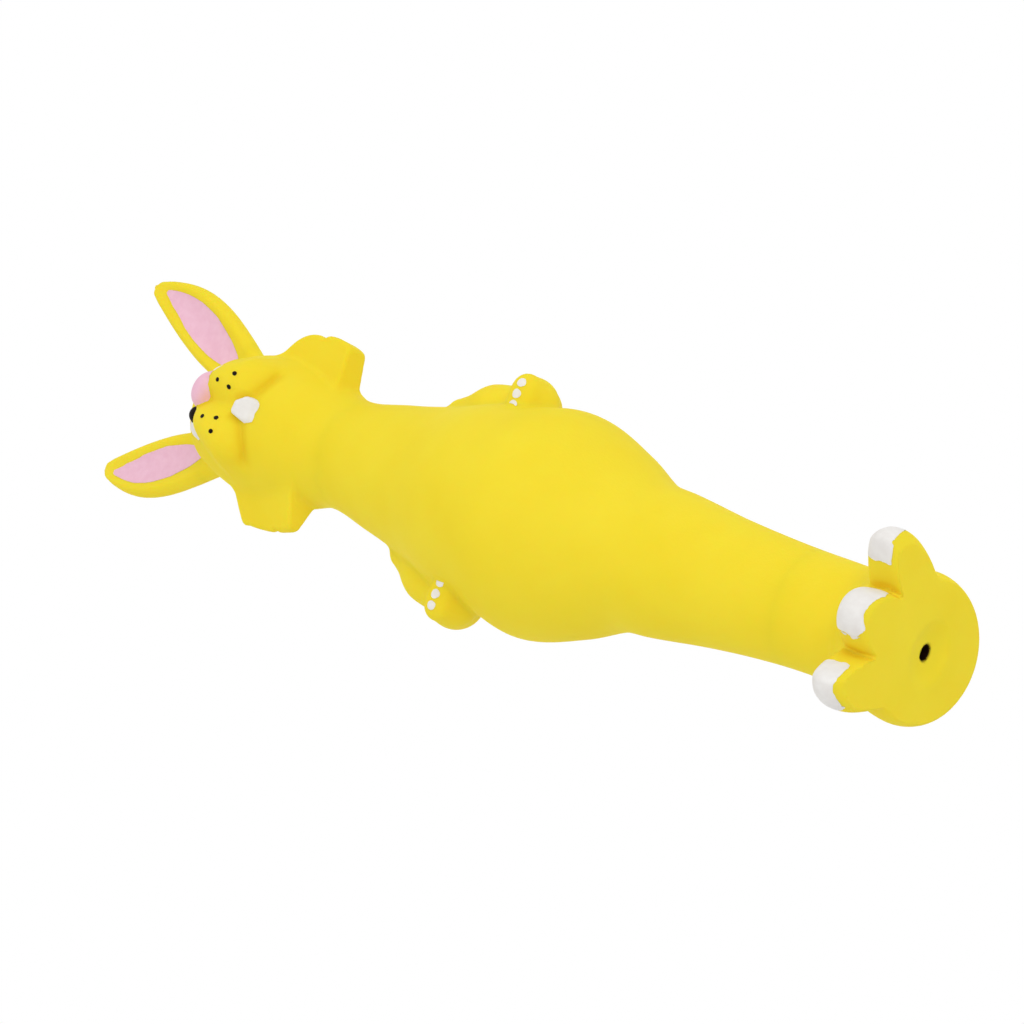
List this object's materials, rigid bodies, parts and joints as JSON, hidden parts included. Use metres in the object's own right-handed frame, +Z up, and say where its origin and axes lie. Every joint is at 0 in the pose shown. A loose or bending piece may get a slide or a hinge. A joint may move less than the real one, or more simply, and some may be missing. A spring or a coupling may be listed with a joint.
{
  "type": "squeaky dog toy",
  "caption": "Standing latex rabbit dog toy with long ears that flex, cheek fur, small arms, a soft belly and a squeaker in its single foot.",
  "frame": {"origin": "centre of the outer box at the sole, on the surface the toy stands on", "axes": "+Z up from the sole to the ears, -Y to the front that the face looks to, +X to the rabbit's own left"},
  "size_m": [0.0556, 0.0468, 0.2336],
  "materials": {
    "latex": "matte",
    "paint_pink": "matte",
    "paint_white": "satin",
    "paint_black": "satin",
    "fibre": "matte",
    "squeaker_plastic": "satin",
    "reed_film": "gloss"
  },
  "bodies": {
    "toy": {"body": "latex", "head": "latex", "foot": "latex", "arm_left": "latex", "arm_right": "latex", "nose": "paint_pink", "tooth": "paint_white", "eye_left": "paint_white", "eye_right": "paint_white", "pupil_left": "paint_black", "pupil_right": "paint_black", "claw_left_1": "paint_white", "claw_left_2": "paint_white", "claw_left_3": "paint_white", "claw_right_1": "paint_white", "claw_right_2": "paint_white", "claw_right_3": "paint_white", "nail_left": "paint_white", "nail_middle": "paint_white", "nail_right": "paint_white", "filling_body": "fibre", "filling_head": "fibre", "squeaker_cup": "squeaker_plastic", "reed_plate": "squeaker_plastic", "squeaker_lid": "squeaker_plastic"},
    "belly_panel": {"belly": "latex"},
    "left_ear": {"ear_left": "latex", "ear_lining_left": "paint_pink"},
    "right_ear": {"ear_right": "latex", "ear_lining_right": "paint_pink"},
    "reed_tongue": {"reed": "reed_film"}
  },
  "joints": [
    {"name": "belly_squeeze", "type": "slide", "parent": "toy", "child": "belly_panel", "axis": [0, 1, 0], "range_m": [0, 0.008], "stiffness_N_per_m": 600, "deforming": ["filling_body"]},
    {"name": "ear_left_flex", "type": "hinge", "parent": "toy", "child": "left_ear", "pos_m": [0.0095, 0.005, 0.193], "axis": [0.9483, 0, -0.3173], "range_deg": [-30, 30], "stiffness_Nm_per_rad": 0.02},
    {"name": "ear_right_flex", "type": "hinge", "parent": "toy", "child": "right_ear", "pos_m": [-0.0095, 0.005, 0.193], "axis": [0.9511, 0, 0.309], "range_deg": [-30, 30], "stiffness_Nm_per_rad": 0.02},
    {"name": "reed_flutter", "type": "hinge", "parent": "toy", "child": "reed_tongue", "pos_m": [0.0005, 0.0084, 0.0061], "axis": [1, 0, 0], "range_deg": [-8, 6], "stiffness_Nm_per_rad": 0.00005}
  ]
}
